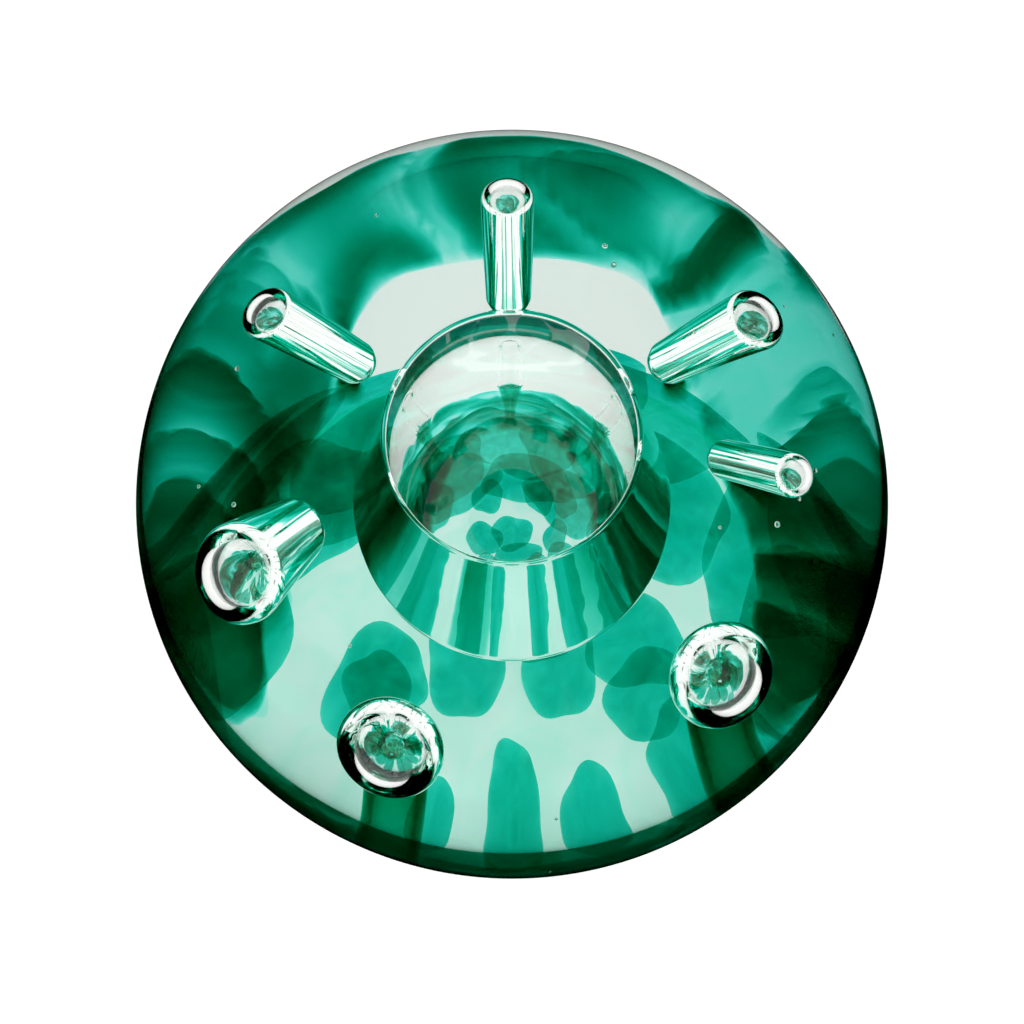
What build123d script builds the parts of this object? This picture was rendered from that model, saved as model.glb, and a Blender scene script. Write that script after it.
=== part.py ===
"""Art-glass candle holder: a clear ball with a round well, a cup of melted green chips and a ring of bubbles.

Frame: millimetres, +Z up, origin at the centre of the flat base, axis of the ball and the well on Z.
"""
from build123d import *
from math import asin, atan, cos, pi, radians, sin, sqrt, tan
import os

# Ball
ball_r = 38.0              # widest radius
equator_z = 30.4           # height of the widest circle above the base
dome_h = 33.4              # half height of the upper ellipsoid
belly_h = 35.0             # half depth of the lower ellipsoid, cut off by the base
base_bevel = 0.6           # ground edge of the base

# Well
well_r = 11.6              # bore for a candle or a flower stem
well_floor_z = 19.3
well_corner_r = 8.4        # rounding between wall and floor
lip_r = 0.5                # fire-polished lip

# Core gather: the first gather, which sits forward of the ball's axis
core_y = -9.5
core_z = 19.0
core_r = 24.6
core_h = 17.6
oval_flatness = 1.8        # how far the side arc's centre lies out, against the difference of the half sizes

# Colour layers on the core, as depths below its surface
outer_chip_depth = (0.25, 1.45)
inner_chip_depth = (1.7, 2.9)
cup_wall = 3.2             # thickness of the pale skin that holds the chips
cup_rim_z = 22.5

# Rings of chips: name, count, polar angle from straight down, half height, half width, turn of the ring
chip_rings = [
    ("rim_petal", 12, 83.5, 16, 20, 0),
    ("leaf", 14, 53, 12.5, 15, 10),
    ("base_petal", 10, 27, 8.5, 12, 8),
    ("floor_chip", 4, 9, 5, 20, 40),
]

# Foot chips: picked up by the casing round the edge of the base
foot_count = 10
foot_depth = (1.0, 2.4)
foot_polar = 34.5
foot_half_height = 5.5
foot_half_width = 11.0
foot_first = -25.0
foot_step = 25.0

# Bubbles, in millimetres and degrees: azimuth, radius and height of the inner end's centre;
# azimuth, radius and height of the outer tip; inner and outer end radius; azimuth and radius of the stem's foot
bubbles = [
    ((91, 15.2, 30.4), (91, 24.7, 41.0), 1.7, 2.2, (91, 13.6)),
    ((139, 15.6, 30.4), (146, 26.2, 40.7), 1.7, 2.4, (136, 14.4)),
    ((190, 17.1, 31.2), (201, 26.6, 40.3), 2.7, 4.3, (188, 16.0)),
    ((245, 21.3, 31.5), (246, 27.0, 41.4), 3.0, 4.6, (249, 18.6)),
    ((319, 20.5, 31.5), (316, 25.8, 41.4), 3.0, 4.6, (313, 18.2)),
    ((10, 16.3, 30.4), (0, 24.3, 40.3), 1.5, 1.9, (12, 15.9)),
    ((41, 15.6, 30.4), (33, 25.8, 40.7), 1.7, 2.7, (44, 14.4)),
]
stem_foot_r = 1.4
stem_mouth_wall = 0.6      # green rim round the bubble's inner end
stem_foot_flare = 1.0
stem_root = 0.8            # how far a stem reaches into the cup before it is cut off flush


def save(part, name):
    """Label a finished piece and write it as its own STEP file."""
    part.label = name
    export_step(part, f"parts/{name}.step")


def polar_point(azimuth, radius, height):
    """Point at an azimuth in degrees, a radius and a height."""
    return Vector(radius * cos(radians(azimuth)), radius * sin(radians(azimuth)), height)


def oval_solid(centre, half_width, half_height, depth=0.0):
    """Flattened ball: an oval of tangent arcs turned about the vertical, or its parallel at a depth."""
    flat = oval_flatness * (half_width - half_height)
    side_r = half_width - flat
    cap_r = (flat ** 2 + half_height ** 2 - side_r ** 2) / (2 * (half_height - side_r))
    cap_drop = cap_r - half_height
    join = atan(cap_drop / flat) * 180 / pi
    with BuildPart() as solid:
        with BuildSketch(Plane(origin=centre, x_dir=(0, -1, 0), z_dir=(-1, 0, 0))):
            with BuildLine():
                CenterArc((0, cap_drop), cap_r - depth, -90, 90 - join)
                CenterArc((flat, 0), side_r - depth, -join, 2 * join)
                CenterArc((0, -cap_drop), cap_r - depth, join, 90 - join)
                Line((0, half_height - depth), (0, depth - half_height))
            make_face()
        revolve(axis=Axis(centre, (0, 0, 1)))
    return solid.part


def shell(centre, half_width, half_height, depths):
    """Closed shell between two depths below a flattened ball's surface."""
    with BuildPart() as layer:
        add(oval_solid(centre, half_width, half_height, depths[0]))
        add(oval_solid(centre, half_width, half_height, depths[1]), mode=Mode.SUBTRACT)
    return layer.part


def chip(layer, centre, half_width, half_height, polar, azimuth, half_polar, half_azimuth):
    """Oval piece of a shell, seen along the line from its centre through the given direction."""
    a = radians(azimuth)
    t = radians(polar)
    out = Vector(half_width * sin(t) * cos(a), half_width * sin(t) * sin(a), -half_height * cos(t))
    reach = out.length
    across = reach * tan(radians(half_azimuth)) * sin(t)
    along = reach * tan(radians(half_polar))
    view = Plane(origin=Vector(*centre), x_dir=(-sin(a), cos(a), 0), z_dir=out)
    with BuildPart() as piece:
        add(layer)
        with BuildSketch(view.offset(reach / 2)):
            Ellipse(across, along)
        extrude(amount=reach, mode=Mode.INTERSECT)
    return piece.part


def bubble_solid(inner, tip, inner_r, outer_r):
    """Teardrop of air: two spheres joined by their common cone, turned about the line from inner to tip."""
    axis = tip - inner
    height = axis.length - outer_r
    slope = asin((outer_r - inner_r) / height)
    low = (inner_r * cos(slope), -inner_r * sin(slope))
    high = (outer_r * cos(slope), height - outer_r * sin(slope))
    frame = Plane(origin=inner, z_dir=axis)
    with BuildPart() as drop:
        with BuildSketch(Plane(origin=inner, x_dir=frame.x_dir, z_dir=frame.y_dir * -1)):
            with BuildLine():
                CenterArc((0, 0), inner_r, -90, 90 - slope * 180 / pi)
                Line(low, high)
                CenterArc((0, height), outer_r, -slope * 180 / pi, 90 + slope * 180 / pi)
                Line((0, height + outer_r), (0, -inner_r))
            make_face()
        revolve(axis=Axis(inner, axis))
    return drop.part


def stem_solid(foot, inner, inner_r):
    """Trumpet of green glass from its flared foot up to the mouth that holds the bubble's inner end."""
    axis = inner - foot
    length = axis.length
    mouth_r = inner_r + stem_mouth_wall
    frame = Plane(origin=foot, z_dir=axis)
    with BuildPart() as trumpet:
        with BuildSketch(Plane(origin=foot, x_dir=frame.x_dir, z_dir=frame.y_dir * -1)):
            with BuildLine():
                Line((0, 0), (stem_foot_r + stem_foot_flare, 0))
                Spline(
                    (stem_foot_r + stem_foot_flare, 0),
                    (stem_foot_r, length * 0.35),
                    (mouth_r, length + inner_r * 0.6),
                )
                Line((mouth_r, length + inner_r * 0.6), (0, length + inner_r * 0.6))
                Line((0, length + inner_r * 0.6), (0, 0))
            make_face()
        revolve(axis=Axis(foot, axis))
    return trumpet.part


os.makedirs("parts", exist_ok=True)
core_centre = (0, core_y, core_z)
ball_centre = (0, 0, equator_z)
lip_z = equator_z + dome_h * sqrt(1 - ((well_r + lip_r) / ball_r) ** 2)
base_angle = asin(equator_z / belly_h) * 180 / pi
base_r = ball_r * cos(radians(base_angle))

# Well: the room for the candle, used as a cutter
with BuildPart() as well:
    with BuildSketch(Plane.XZ):
        with BuildLine():
            Polyline(
                (0, well_floor_z),
                (well_r - well_corner_r, well_floor_z),
            )
            CenterArc((well_r - well_corner_r, well_floor_z + well_corner_r), well_corner_r, -90, 90)
            Line((well_r, well_floor_z + well_corner_r), (well_r, lip_z - lip_r))
            CenterArc((well_r + lip_r, lip_z - lip_r), lip_r, 90, 90)
            Polyline((well_r + lip_r, lip_z), (well_r + lip_r, lip_z + 10), (0, lip_z + 10), (0, well_floor_z))
        make_face()
    revolve(axis=Axis.Z)

# Colour cup: chips in rings, laid in two depths so that neighbours overlap, and the pale skin that holds them
with BuildPart() as above_the_rim:
    with Locations((0, core_y, cup_rim_z)):
        Box(4 * core_r, 4 * core_r, 2 * core_h, align=(Align.CENTER, Align.CENTER, Align.MIN))
outer_layer = shell(core_centre, core_r, core_h, outer_chip_depth)
inner_layer = shell(core_centre, core_r, core_h, inner_chip_depth)
chips = []
for ring_name, count, polar, half_polar, half_azimuth, turn in chip_rings:
    for index in range(count):
        layer = inner_layer if index % 2 else outer_layer
        piece = chip(
            layer, core_centre, core_r, core_h, polar, turn + index * 360 / count, half_polar, half_azimuth
        )
        chips.append(piece)
        save(piece, f"{ring_name}_{index + 1}")
inner_core = oval_solid(core_centre, core_r, core_h, cup_wall)
with BuildPart() as cup_room:
    add(oval_solid(core_centre, core_r, core_h))
    add(above_the_rim.part, mode=Mode.SUBTRACT)
with BuildPart() as colour_veil:
    add(cup_room.part)
    add(inner_core, mode=Mode.SUBTRACT)
    add(chips, mode=Mode.SUBTRACT)
save(colour_veil.part, "colour_veil")

# Foot chips: a ring of green round the back and sides of the base
foot_layer = shell(ball_centre, ball_r, belly_h, foot_depth)
foot_chips = []
for index in range(foot_count):
    piece = chip(
        foot_layer, ball_centre, ball_r, belly_h, foot_polar, foot_first + index * foot_step,
        foot_half_height, foot_half_width
    )
    foot_chips.append(piece)
    save(piece, f"foot_chip_{index + 1}")

# Bubbles and their stems: the front ones stand on the inside of the cup, the others on its rim
with BuildPart() as wall_room:
    add(cup_room.part)
    add(inner_core, mode=Mode.SUBTRACT)
with BuildPart() as below_the_rim:
    with Locations((0, core_y, cup_rim_z)):
        Box(4 * core_r, 4 * core_r, 2 * core_h, align=(Align.CENTER, Align.CENTER, Align.MAX))
drops = []
stems = []
for index, (inner, tip, inner_r, outer_r, foot) in enumerate(bubbles):
    inner_point = polar_point(*inner)
    drop = bubble_solid(inner_point, polar_point(*tip), inner_r, outer_r)
    foot_flat = polar_point(*foot, 0)
    reach = (foot_flat - Vector(0, core_y, 0)).length / (core_r - cup_wall)
    on_rim = reach > 0.9
    foot_z = cup_rim_z if on_rim else core_z - (core_h - cup_wall) * sqrt(1 - reach ** 2)
    foot_point = Vector(foot_flat.X, foot_flat.Y, foot_z - stem_root)
    with BuildPart() as stem:
        add(stem_solid(foot_point, inner_point, inner_r))
        add(drop, mode=Mode.SUBTRACT)
        add(below_the_rim.part if on_rim else wall_room.part, mode=Mode.SUBTRACT)
    drops.append(drop)
    stems.append(stem.part)
    save(stem.part, f"stem_{index + 1}")

# Core gather: the clear glass that fills the cup, with the lower part of the well
with BuildPart() as core_gather:
    add(inner_core)
    add(well.part, mode=Mode.SUBTRACT)
    add(stems + drops, mode=Mode.SUBTRACT)
save(core_gather.part, "core_gather")

# Outer casing: the clear last gather, with the lip, the ball's skin and the ground base
with BuildPart() as outer_casing:
    with BuildSketch(Plane.XZ):
        with BuildLine():
            EllipticalCenterArc((0, equator_z), ball_r, belly_h, -base_angle, arc_size=base_angle)
            EllipticalCenterArc((0, equator_z), ball_r, dome_h, 0, arc_size=90)
            Polyline((0, equator_z + dome_h), (0, 0), (base_r, 0))
        make_face()
    revolve(axis=Axis.Z)
    chamfer(outer_casing.edges().filter_by(GeomType.CIRCLE).sort_by(Axis.Z)[0], base_bevel)
    add(well.part, mode=Mode.SUBTRACT)
    add([inner_core, cup_room.part], mode=Mode.SUBTRACT)
    add(drops + stems + foot_chips, mode=Mode.SUBTRACT)
save(outer_casing.part, "outer_casing")

for name, part in (("core_gather", core_gather.part), ("outer_casing", outer_casing.part)):
    print(name, len(part.solids()), "solids", round(part.volume, 1), "mm3")
print("ball", 2 * ball_r, "wide", round(lip_z, 2), "high, base radius", round(base_r, 2))
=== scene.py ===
"""Looks for the art-glass candle holder: a clear body with a well and bubbles, and melted colour in it."""
import math
import random

import bmesh
import bpy
from mathutils import Matrix, Vector, noise


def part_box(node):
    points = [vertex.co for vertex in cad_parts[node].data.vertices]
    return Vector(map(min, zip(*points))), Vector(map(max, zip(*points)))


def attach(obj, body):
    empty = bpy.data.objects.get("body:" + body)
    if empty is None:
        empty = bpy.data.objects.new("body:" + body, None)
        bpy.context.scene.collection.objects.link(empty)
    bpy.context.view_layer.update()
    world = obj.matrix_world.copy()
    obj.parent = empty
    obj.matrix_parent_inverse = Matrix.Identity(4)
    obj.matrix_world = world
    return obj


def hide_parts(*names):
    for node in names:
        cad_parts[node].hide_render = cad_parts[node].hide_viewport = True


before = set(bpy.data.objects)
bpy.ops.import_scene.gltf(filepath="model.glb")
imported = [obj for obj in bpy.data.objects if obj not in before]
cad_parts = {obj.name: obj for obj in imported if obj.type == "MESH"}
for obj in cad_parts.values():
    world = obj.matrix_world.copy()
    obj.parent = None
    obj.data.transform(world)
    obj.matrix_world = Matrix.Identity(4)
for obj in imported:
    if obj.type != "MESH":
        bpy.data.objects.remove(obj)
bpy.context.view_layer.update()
scene = bpy.context.scene

# Frame of the piece: R is the ball's radius, EQUATOR the height of its widest circle
low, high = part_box("outer_casing")
R = (high[0] - low[0]) / 2
TOP = high[2]
BASE = -0.8               # flat base, in ball radii below the widest circle
EQUATOR = -BASE * R
DOME = 0.8789             # half height of the upper half of the ball
BELLY = 0.921             # half height of the lower half, before the base cuts it
WELL_R = 0.3053
WELL_FLOOR = -0.29
WELL_CORNER = 0.22        # rounding between wall and floor
LIP = 0.0132              # fire-polished lip
CENTRE = Vector((0, 0, EQUATOR))

# Colour cup: spheroid under the well, forward of the ball's axis
CUP = Vector((0, -0.25, -0.30))
CUP_R = 0.63
CUP_H = 0.45
CUP_PINCH = 0.10          # how far the cup is drawn in at the back


def unit(x, y, z):
    """A point given in ball radii from the centre of the widest circle."""
    return Vector((x, y, z)) * R + CENTRE


def polar(azimuth, radius, z):
    """A point given by azimuth in degrees, radius and height in ball radii."""
    a = math.radians(azimuth)
    return unit(radius * math.cos(a), radius * math.sin(a), z)


def add_object(name, mesh, material, slot=None):
    """Links a mesh as a smooth piece, on the root body when a slot is given."""
    for face in mesh.polygons:
        face.use_smooth = True
    piece = bpy.data.objects.new(name, mesh)
    scene.collection.objects.link(piece)
    mesh.materials.clear()
    mesh.materials.append(material)
    if slot:
        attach(piece, "root")
    return piece


def lathe(profile, count):
    """Closed surface of revolution of (radius, height) points about Z, as a bmesh."""
    bm = bmesh.new()
    rings = []
    for r, z in profile:
        if r < 1e-9:
            rings.append([bm.verts.new((0, 0, z))])
            continue
        turn = [2 * math.pi * i / count for i in range(count)]
        rings.append([bm.verts.new((r * math.cos(a), r * math.sin(a), z)) for a in turn])
    for a, b in zip(rings, rings[1:]):
        for i in range(count):
            j = (i + 1) % count
            if len(a) == 1:
                bm.faces.new((a[0], b[i], b[j]))
            elif len(b) == 1:
                bm.faces.new((a[i], b[0], a[j]))
            else:
                bm.faces.new((a[i], b[i], b[j], a[j]))
    bmesh.ops.recalc_face_normals(bm, faces=bm.faces)
    return bm


def to_mesh(bm, name):
    """Turns a bmesh into a mesh and frees it."""
    mesh = bpy.data.meshes.new(name)
    bm.to_mesh(mesh)
    bm.free()
    return mesh


def aim(base, axis):
    """Matrix that stands a +Z profile on base along axis."""
    return Matrix.Translation(base) @ Vector((0, 0, 1)).rotation_difference(axis).to_matrix().to_4x4()


# ---------------------------------------------------------------- materials
def glass_material(name, ior, tint, absorb, density, mottle=None, bump=None):
    """Glass with uniform absorption; mottle mixes in a second tint, bump gives a hand-made surface."""
    mat = bpy.data.materials.new(name)
    mat.use_nodes = True
    tree = mat.node_tree
    shader = tree.nodes["Principled BSDF"]
    shader.inputs["Base Color"].default_value = (*tint, 1)
    shader.inputs["Roughness"].default_value = 0.0
    shader.inputs["IOR"].default_value = ior
    shader.inputs["Transmission Weight"].default_value = 1.0
    volume = tree.nodes.new("ShaderNodeVolumeAbsorption")
    volume.inputs["Color"].default_value = (*absorb, 1)
    volume.inputs["Density"].default_value = density
    tree.links.new(volume.outputs[0], tree.nodes["Material Output"].inputs["Volume"])
    place = tree.nodes.new("ShaderNodeTexCoord")
    if mottle:
        second, scale, spread = mottle
        grain = tree.nodes.new("ShaderNodeTexNoise")
        grain.inputs["Scale"].default_value = scale
        grain.inputs["Detail"].default_value = 5
        grain.inputs["Distortion"].default_value = 1.2
        ramp = tree.nodes.new("ShaderNodeValToRGB")
        ramp.color_ramp.elements[0].position = 0.5 - spread
        ramp.color_ramp.elements[0].color = (*tint, 1)
        ramp.color_ramp.elements[1].position = 0.5 + spread
        ramp.color_ramp.elements[1].color = (*second, 1)
        tree.links.new(place.outputs["Object"], grain.inputs["Vector"])
        tree.links.new(grain.outputs[0], ramp.inputs[0])
        tree.links.new(ramp.outputs[0], shader.inputs["Base Color"])
    if bump:
        scale, height = bump
        wave = tree.nodes.new("ShaderNodeTexNoise")
        wave.inputs["Scale"].default_value = scale
        wave.inputs["Detail"].default_value = 2
        lift = tree.nodes.new("ShaderNodeBump")
        lift.inputs["Strength"].default_value = 1.0
        lift.inputs["Distance"].default_value = height
        tree.links.new(place.outputs["Object"], wave.inputs["Vector"])
        tree.links.new(wave.outputs[0], lift.inputs["Height"])
        tree.links.new(lift.outputs[0], shader.inputs["Normal"])
    return mat


CLEAR = glass_material("clear_glass", 1.5, (1, 1, 1), (0.6, 1.0, 0.85), 3.0, bump=(45, 0.00012))
GREEN = glass_material(
    "green_glass", 1.0, (0.06, 0.62, 0.5), (0.0, 0.9, 0.87), 1500, mottle=((0.13, 0.8, 0.7), 420, 0.16)
)
SWIRLED = glass_material(
    "swirled_glass", 1.0, (0.62, 1.0, 0.95), (0.0, 0.85, 0.785), 3200, mottle=((0.95, 1.0, 1.0), 420, 0.16)
)
STEM = glass_material(
    "stem_glass", 1.0, (0.7, 1.0, 0.95), (0.0, 0.86, 0.78), 2300, mottle=((1, 1, 1), 600, 0.2)
)
MINT = glass_material(
    "mint_glass", 1.0, (0.86, 1, 0.96), (0.2, 0.96, 0.85), 350, mottle=((0.66, 0.97, 0.88), 260, 0.15)
)

# ---------------------------------------------------------------- clear body
mouth_z = TOP / R + BASE
profile = [(0, DOME)]
for i in range(1, 97):
    t = math.pi / 2 * (1 - i / 96)
    profile.append((math.cos(t), DOME * math.sin(t)))
foot_angle = math.asin(-BASE / BELLY)
for i in range(1, 65):
    t = -foot_angle * i / 64
    profile.append((math.cos(t), BELLY * math.sin(t)))
base_r = math.cos(foot_angle)
# Ground edge of the base
profile[-1] = (base_r - 0.004, BASE + 0.008)
profile.append((base_r - 0.018, BASE))
profile.append((0, BASE))
ball_bm = lathe([(r * R, z * R + EQUATOR) for r, z in profile], 256)
ball = add_object("ball_blank", to_mesh(ball_bm, "ball_blank"), CLEAR)

cutter = [(0, 1.3), (WELL_R + LIP, 1.3)]
for i in range(9):
    a = math.pi / 2 * i / 8
    cutter.append((WELL_R + LIP * (1 - math.sin(a)), mouth_z - LIP * (1 - math.cos(a))))
cutter.append((WELL_R, WELL_FLOOR + WELL_CORNER))
for i in range(1, 21):
    a = math.pi / 2 * i / 20
    r = WELL_R - WELL_CORNER * (1 - math.cos(a))
    cutter.append((r, WELL_FLOOR + WELL_CORNER * (1 - math.sin(a))))
cutter.append((0, WELL_FLOOR))
well_bm = lathe([(r * R, z * R + EQUATOR) for r, z in cutter], 192)
well = add_object("well_blank", to_mesh(well_bm, "well_blank"), CLEAR)
cut = ball.modifiers.new("well", "BOOLEAN")
cut.object = well
cut.operation = "DIFFERENCE"
cut.solver = "EXACT"
graph = bpy.context.evaluated_depsgraph_get()
body = bmesh.new()
carved = bpy.data.meshes.new_from_object(ball.evaluated_get(graph))
body.from_mesh(carved)
for blank in (ball, well):
    bpy.data.objects.remove(blank)

# Bubbles: inner end (radius, azimuth, height), outer tip, inner and outer end radius, foot of the stem
BUBBLES = [
    ((0.40, 91, 0.00), (0.65, 91, 0.28), 0.045, 0.058, (0.36, 91)),
    ((0.41, 139, 0.00), (0.69, 146, 0.27), 0.045, 0.063, (0.38, 136)),
    ((0.45, 190, 0.02), (0.70, 201, 0.26), 0.070, 0.113, (0.42, 188)),
    ((0.56, 245, 0.03), (0.71, 246, 0.29), 0.080, 0.121, (0.49, 249)),
    ((0.54, 319, 0.03), (0.68, 316, 0.29), 0.080, 0.121, (0.48, 313)),
    ((0.43, 10, 0.00), (0.64, 0, 0.26), 0.040, 0.050, (0.42, 12)),
    ((0.41, 41, 0.00), (0.68, 33, 0.27), 0.045, 0.071, (0.38, 44)),
]


def carve(profile_points, count, matrix):
    """Adds a closed cavity, facing inwards, to the clear body."""
    bm = lathe([(r * R, z * R) for r, z in profile_points], count)
    bmesh.ops.reverse_faces(bm, faces=bm.faces)
    mesh = to_mesh(bm, "cavity")
    mesh.transform(matrix)
    body.from_mesh(mesh)


for (jr, ja, jz), (tr, ta, tz), r_in, r_out, foot in BUBBLES:
    inner = polar(ja, jr, jz)
    axis = polar(ta, tr, tz) - inner
    span = axis.length / R - r_out
    slope = math.asin((r_out - r_in) / span)
    points = [(0, -r_in)]
    for i in range(1, 33):
        b = -math.pi / 2 + (math.pi / 2 - slope) * i / 32
        points.append((r_in * math.cos(b), r_in * math.sin(b)))
    for i in range(32):
        b = -slope + (math.pi / 2 + slope) * i / 32
        points.append((r_out * math.cos(b), span + r_out * math.sin(b)))
    points.append((0, span + r_out))
    carve(points, 72, aim(inner, axis.normalized()))

# Seeds: the small stray bubbles of hand-gathered glass
SEED_COUNT = 26
rnd = random.Random(11)
for _ in range(SEED_COUNT):
    a = rnd.uniform(0, 360)
    z = rnd.uniform(-0.45, 0.45)
    r = rnd.uniform(0.5, 0.9) * math.sqrt(1 - (z / 0.9) ** 2)
    size = rnd.uniform(0.003, 0.0075)
    dots = [(size * math.sin(math.pi * i / 10), -size * math.cos(math.pi * i / 10)) for i in range(11)]
    dots[0] = (0, -size)
    dots[-1] = (0, size)
    carve(dots, 16, Matrix.Translation(polar(a, r, z)))

clear_body = add_object("clear_body", to_mesh(body, "clear_body"), CLEAR, "clear_glass")
clear_body.data.set_sharp_from_angle(angle=math.radians(40))
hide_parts("outer_casing", "core_gather")


# ---------------------------------------------------------------- melted colour
def cup_radius(azimuth):
    """Radius of the cup at an azimuth: it is pinched in at the back, under the well."""
    return CUP_R * (1 - CUP_PINCH * max(0.0, math.sin(azimuth)))


def on_cup(theta, azimuth, offset=0.0):
    """Point on the colour cup: theta from straight down and azimuth in radians, offset in ball radii."""
    n = Vector((math.sin(theta) * math.cos(azimuth), math.sin(theta) * math.sin(azimuth), -math.cos(theta)))
    wide = cup_radius(azimuth)
    p = Vector((wide * n.x, wide * n.y, CUP_H * n.z))
    out = Vector((p.x / wide**2, p.y / wide**2, p.z / CUP_H**2)).normalized()
    return unit(*(CUP + p + out * offset))


def on_bottom(x, y, offset=0.0):
    """Point on the lower half of the colour cup above or below (x, y)."""
    dx, dy = x - CUP.x, y - CUP.y
    drop = math.sqrt(max(0.0, 1 - (dx * dx + dy * dy) / CUP_R**2))
    return unit(x, y, CUP.z - CUP_H * drop - offset)


def on_foot(along, azimuth, offset=0.0):
    """Point on the foot collar: along runs from its inner edge, above the base, out under the skin."""
    side = min(1.0, max(0.0, (abs(math.cos(azimuth)) - 0.3) / 0.6))
    side = side * side * (3 - 2 * side)
    inner = FOOT_INNER - FOOT_SPREAD * side
    r = inner + (FOOT_OUTER - inner) * along
    z = max(FOOT_LOWEST, FOOT_LIFT - BELLY * math.sqrt(1 - r * r))
    return unit(r * math.cos(azimuth), r * math.sin(azimuth), z + offset)


def blob(place, half_high, half_wide, thick, seed, turn=0.0, lift=0.0, wobble=1.0):
    """Thin melted chip, unevenly oval; place maps (across, up, offset) to a point on its surface."""
    r = random.Random(seed)
    phase = [r.uniform(0, 2 * math.pi) for _ in range(5)]
    rings, sides = 12, 48
    faces = {1: [], -1: []}
    for i in range(rings + 1):
        u = i / rings
        rows = {1: [], -1: []}
        for k in range(sides):
            t = 2 * math.pi * k / sides
            edge = 1 + wobble * (0.08 * math.sin(3 * t + phase[0]) + 0.05 * math.sin(5 * t + phase[1]))
            x = math.cos(t) * u * edge * half_wide
            y = math.sin(t) * u * edge * half_high
            across = x * math.cos(turn) - y * math.sin(turn)
            up = x * math.sin(turn) + y * math.cos(turn)
            t_here = thick * math.sqrt(max(0.0, 1 - u**4))
            t_here *= 1 + 0.3 * u * math.sin(4 * t + phase[2]) + 0.2 * u * math.sin(7 * t + phase[3])
            for side in (1, -1):
                rows[side].append(place(across, up, lift + side * t_here / 2))
        for side in (1, -1):
            faces[side].append(rows[side])
    bm = bmesh.new()
    last = {}
    for side in (1, -1):
        hub = bm.verts.new(faces[side][0][0])
        previous = None
        for row in faces[side][1:]:
            ring = [bm.verts.new(p) for p in row]
            for k in range(sides):
                j = (k + 1) % sides
                if previous is None:
                    bm.faces.new((hub, ring[k], ring[j]))
                else:
                    bm.faces.new((previous[k], ring[k], ring[j], previous[j]))
            previous = ring
        last[side] = previous
    for k in range(sides):
        j = (k + 1) % sides
        bm.faces.new((last[1][k], last[-1][k], last[-1][j], last[1][j]))
    bmesh.ops.recalc_face_normals(bm, faces=bm.faces)
    return bm


CHIP = 0.045              # thickness of a chip
RIM_DROP = 0.16           # how much lower the chips sit at the back
FRONT_DROP = 0.10         # and at the front
FRONT_GAP = 0.30          # how much narrower they are at the front
RIM_OPEN = 0.2            # share of the front from which the rim petals are small
FRONT_RIM = 0.35          # size of those, against the others
# Rings: CAD nodes, count, theta, half height, half width in degrees, turn of the ring, thickness factor
RINGS = [
    ("rim_petal", 12, 84, 26, 21, 0.0, 0.35),
    ("leaf", 14, 58, 20, 15, 0.4, 1.0),
    ("base_petal", 10, 28, 8.5, 8, 0.2, 0.9),
]
rnd = random.Random(3)
for index, (node, count, theta, high_, wide, shift, factor) in enumerate(RINGS):
    for i in range(count):
        azimuth = 2 * math.pi * (i + shift + rnd.uniform(-0.2, 0.2)) / count
        back = max(0.0, math.sin(azimuth))
        front = max(0.0, -math.sin(azimuth))
        shrink = FRONT_RIM if node == "rim_petal" and front > RIM_OPEN else 1.0
        tilt = math.radians(theta * (1 - RIM_DROP * back - FRONT_DROP * front) + rnd.uniform(-5, 5))
        bm = blob(
            lambda x, y, o: on_cup(tilt + y, azimuth + x / math.sin(tilt), o),
            math.radians(high_ * shrink * (1 - 0.25 * back) * (1 + rnd.uniform(-0.2, 0.2))),
            math.radians(wide * shrink * (1 - FRONT_GAP * front) * (1 + rnd.uniform(-0.25, 0.2))),
            CHIP * factor * shrink,
            seed=i + 7 * index,
            turn=rnd.uniform(-0.2, 0.2),
            lift=0.02 * (i % 2),
        )
        piece = add_object(f"{node}_{i + 1}_look", to_mesh(bm, node), GREEN, "green_glass")
        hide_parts(f"{node}_{i + 1}")

# Small chips on the floor of the cup: x and y of the centre, half length, half width, turn
BASE_CHIPS = [
    (0.00, -0.285, 0.052, 0.036, 0.0),
    (0.11, -0.30, 0.044, 0.040, -0.3),
    (-0.11, -0.31, 0.040, 0.034, 0.3),
    (-0.075, -0.13, 0.080, 0.058, 0.2),
    (0.075, -0.13, 0.080, 0.056, -0.2),
    (0.20, -0.17, 0.065, 0.052, -0.6),
    (-0.20, -0.17, 0.060, 0.046, 0.5),
    (0.0, 0.02, 0.050, 0.060, 0.0),
    (0.15, 0.0, 0.060, 0.052, 0.0),
    (-0.08, 0.13, 0.055, 0.055, 0.0),
    (0.09, 0.13, 0.055, 0.055, 0.0),
    (0.19, 0.11, 0.050, 0.050, 0.0),
]
for i, (x0, y0, long_, wide, turn) in enumerate(BASE_CHIPS):
    bm = blob(
        lambda x, y, o: on_bottom(x0 + x, y0 + y, o),
        long_,
        wide,
        CHIP * 0.8,
        seed=60 + i,
        turn=turn,
    )
    piece = add_object(f"base_chip_look_{i + 1}", to_mesh(bm, "base_chip"), GREEN, "green_glass")
    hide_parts(f"floor_chip_{1 + i % 4}")

# Foot collar: swirled green round the back and sides of the base, a little thicker at the sides
FOOT_INNER = 0.48
FOOT_OUTER = 0.84
FOOT_SPREAD = 0.13        # how much further in the collar reaches at the sides
FOOT_LIFT = 0.055         # height over the ball's skin
FOOT_LOWEST = -0.755      # the collar stays clear of the base
FOOT_FROM, FOOT_TO = -40, 220
FOOT_THICK = 0.075
FOOT_UNDER = 0.012        # how far the underside lies below the collar's surface
ALONG, AROUND = 28, 180


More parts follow.
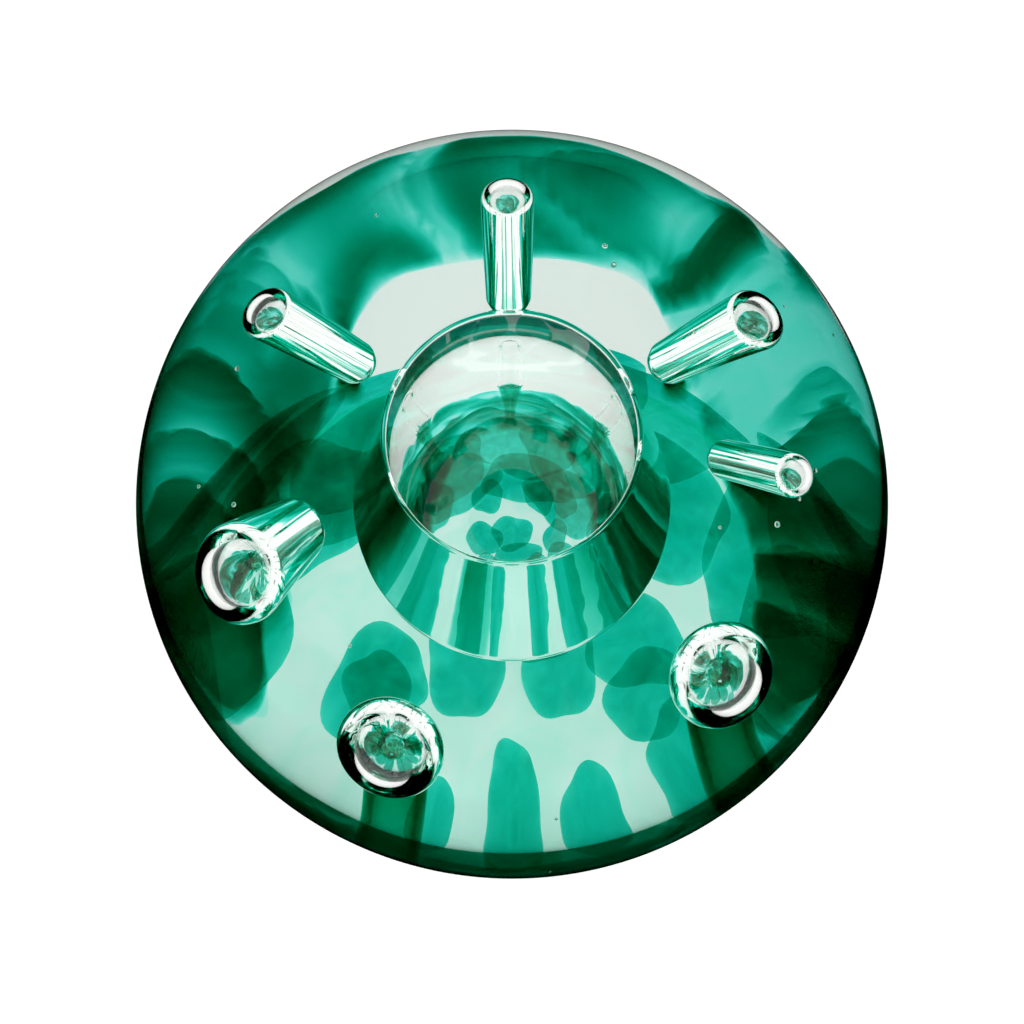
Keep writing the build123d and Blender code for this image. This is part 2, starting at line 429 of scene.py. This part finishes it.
def swirl(azimuth, along):
    """Streaky pattern between 0 and 1 that curls round the foot."""
    p = Vector((azimuth * 1.6, along * 2.2, 0))
    bend = noise.noise(p * 1.1) * 1.4
    q = Vector((azimuth * 1.3 + bend, along * 3.4 + 1.8 * bend, 0.3))
    return min(1.0, max(0.0, 0.5 + 1.25 * noise.noise(q * 1.7) + 0.35 * noise.noise(q * 4.5)))


collar = bmesh.new()
sheets = {1: [], -1: []}
for i in range(AROUND + 1):
    turn = i / AROUND
    azimuth = math.radians(FOOT_FROM + (FOOT_TO - FOOT_FROM) * turn)
    fade = math.sqrt(max(0.0, 1 - abs(2 * turn - 1) ** 10))
    side_gain = 1 + 0.3 * min(1.0, max(0.0, abs(math.cos(azimuth)) - 0.35) / 0.4)
    columns = {1: [], -1: []}
    for k in range(ALONG + 1):
        along = k / ALONG
        edge = math.sqrt(max(0.0, 1 - abs(2 * along - 1) ** 14))
        thick = FOOT_THICK * side_gain * (0.14 + 1.3 * swirl(azimuth, along)) * fade * edge + 0.0004
        for side in (1, -1):
            offset = thick - FOOT_UNDER if side > 0 else -FOOT_UNDER
            columns[side].append(collar.verts.new(on_foot(along, azimuth, offset)))
    for side in (1, -1):
        sheets[side].append(columns[side])
for side in (1, -1):
    for a, b in zip(sheets[side], sheets[side][1:]):
        for k in range(ALONG):
            collar.faces.new((a[k], b[k], b[k + 1], a[k + 1]))
for k in (0, ALONG):
    for a, b, c, d in zip(sheets[1], sheets[1][1:], sheets[-1][1:], sheets[-1]):
        collar.faces.new((a[k], b[k], c[k], d[k]))
for end in (0, AROUND):
    for k in range(ALONG):
        up, down = sheets[1][end], sheets[-1][end]
        collar.faces.new((up[k], up[k + 1], down[k + 1], down[k]))
bmesh.ops.recalc_face_normals(collar, faces=collar.faces)
piece = add_object("foot_collar_look", to_mesh(collar, "foot_collar"), SWIRLED, "green_glass")
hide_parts(*[f"foot_chip_{k + 1}" for k in range(10)])

# Pale skin of the cup
VEIL_TOP = 96
VEIL_WALL = 0.012
sides, steps = 128, 44
skin = bmesh.new()
layers = []
for offset in (-CHIP / 2 - 0.01, -CHIP / 2 - 0.01 - VEIL_WALL):
    rows = []
    for i in range(steps + 1):
        theta = math.radians(2 + (VEIL_TOP - 2) * i / steps)
        rows.append([skin.verts.new(on_cup(theta, 2 * math.pi * k / sides, offset)) for k in range(sides)])
    for a, b in zip(rows, rows[1:]):
        for k in range(sides):
            j = (k + 1) % sides
            skin.faces.new((a[k], b[k], b[j], a[j]))
    pole = skin.verts.new(on_cup(0, 0, offset))
    for k in range(sides):
        skin.faces.new((pole, rows[0][k], rows[0][(k + 1) % sides]))
    layers.append(rows)
for k in range(sides):
    j = (k + 1) % sides
    skin.faces.new((layers[0][-1][k], layers[1][-1][k], layers[1][-1][j], layers[0][-1][j]))
bmesh.ops.recalc_face_normals(skin, faces=skin.faces)
veil = add_object("colour_veil_look", to_mesh(skin, "colour_veil"), MINT, "mint_glass")
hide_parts("colour_veil")

STEM_SHORT = 0.5          # how far the mouth stops short of the bubble's end, in its radii
STEM_MOUTH = 0.9          # mouth radius against the bubble's
# Stems: hollow trumpets from the cup up to the mouth round each bubble's inner end
for index, ((jr, ja, jz), tip, r_in, r_out, (fr, fa)) in enumerate(BUBBLES):
    a = math.radians(fa)
    away = Vector((fr * math.cos(a), fr * math.sin(a), 0)) - Vector((CUP.x, CUP.y, 0))
    share = min(0.97, away.length / CUP_R)
    foot = polar(fa, fr, CUP.z - CUP_H * math.sqrt(1 - share**2))
    inner = polar(ja, jr, jz)
    axis = inner - foot
    top = axis.length / R - r_in * STEM_SHORT
    mouth = r_in * STEM_MOUTH
    root = 0.9 * (r_in - 0.03)
    outer, inside = [], []
    for i in range(29):
        u = i / 28
        r = root + (mouth - root) * u**1.6 + root * math.exp(-9 * u)
        outer.append((r, u * top))
        inside.append((max(0.3 * r, r - 0.022 * (0.6 + 0.4 * u)), u * top))
    stem = bmesh.new()
    rings = []
    for r, z in outer + inside[::-1]:
        turn = [2 * math.pi * i / 48 for i in range(48)]
        rings.append([stem.verts.new((r * R * math.cos(t), r * R * math.sin(t), z * R)) for t in turn])
    for ring, after in zip(rings, rings[1:] + rings[:1]):
        for i in range(48):
            j = (i + 1) % 48
            stem.faces.new((ring[i], after[i], after[j], ring[j]))
    bmesh.ops.recalc_face_normals(stem, faces=stem.faces)
    mesh = to_mesh(stem, f"stem_{index + 1}")
    mesh.transform(aim(foot, axis.normalized()))
    piece = add_object(f"stem_{index + 1}_look", mesh, STEM, "stem_glass")
    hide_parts(f"stem_{index + 1}")

# ---------------------------------------------------------------- stage, light and camera
FLOOR_GLOW = 0.72
SKY = 0.9
CEILING = (0.34, 0.29, 0.26, 1)
floor_mat = bpy.data.materials.new("floor")
floor_mat.use_nodes = True
floor_shader = floor_mat.node_tree.nodes["Principled BSDF"]
floor_shader.inputs["Base Color"].default_value = (0.85, 0.85, 0.84, 1)
floor_shader.inputs["Roughness"].default_value = 0.8
floor_shader.inputs["Emission Color"].default_value = (1, 1, 1, 1)
floor_shader.inputs["Emission Strength"].default_value = FLOOR_GLOW
floor_bm = bmesh.new()
bmesh.ops.create_grid(floor_bm, x_segments=8, y_segments=8, size=1.5)
floor = add_object("floor", to_mesh(floor_bm, "floor"), floor_mat)
floor.location.z = -0.0001
floor.visible_glossy = False

world = bpy.data.worlds.new("studio")
scene.world = world
world.use_nodes = True
sky = world.node_tree.nodes["Background"]
sky.inputs[1].default_value = SKY
# Soft room light: bright walls all round, and a dimmer warm ceiling
heading = world.node_tree.nodes.new("ShaderNodeTexCoord")
split = world.node_tree.nodes.new("ShaderNodeSeparateXYZ")
walls = world.node_tree.nodes.new("ShaderNodeValToRGB")
walls.color_ramp.elements[0].position = 0.45
walls.color_ramp.elements[0].color = (1, 1, 1, 1)
walls.color_ramp.elements[1].position = 0.8
walls.color_ramp.elements[1].color = CEILING
world.node_tree.links.new(heading.outputs["Generated"], split.inputs[0])
world.node_tree.links.new(split.outputs["Z"], walls.inputs[0])
world.node_tree.links.new(walls.outputs[0], sky.inputs[0])
world.cycles_visibility.glossy = False

ELEVATION = math.radians(79)
DISTANCE = 9.0
BALL_SHARE = 0.7357
camera_data = bpy.data.cameras.new("camera")
camera = bpy.data.objects.new("camera", camera_data)
scene.collection.objects.link(camera)
camera.location = unit(0, -math.cos(ELEVATION) * DISTANCE, math.sin(ELEVATION) * DISTANCE)
camera.rotation_euler = (math.pi / 2 - ELEVATION, 0, 0)
camera_data.angle = 2 * math.atan(1 / BALL_SHARE / math.sqrt(DISTANCE**2 - 1))
camera_data.shift_y = -0.0094
camera_data.clip_start = 0.01
scene.camera = camera

scene.view_settings.view_transform = "Standard"
scene.cycles.max_bounces = 48
scene.cycles.transmission_bounces = 48
scene.cycles.glossy_bounces = 24
scene.cycles.diffuse_bounces = 3

bpy.context.view_layer.update()
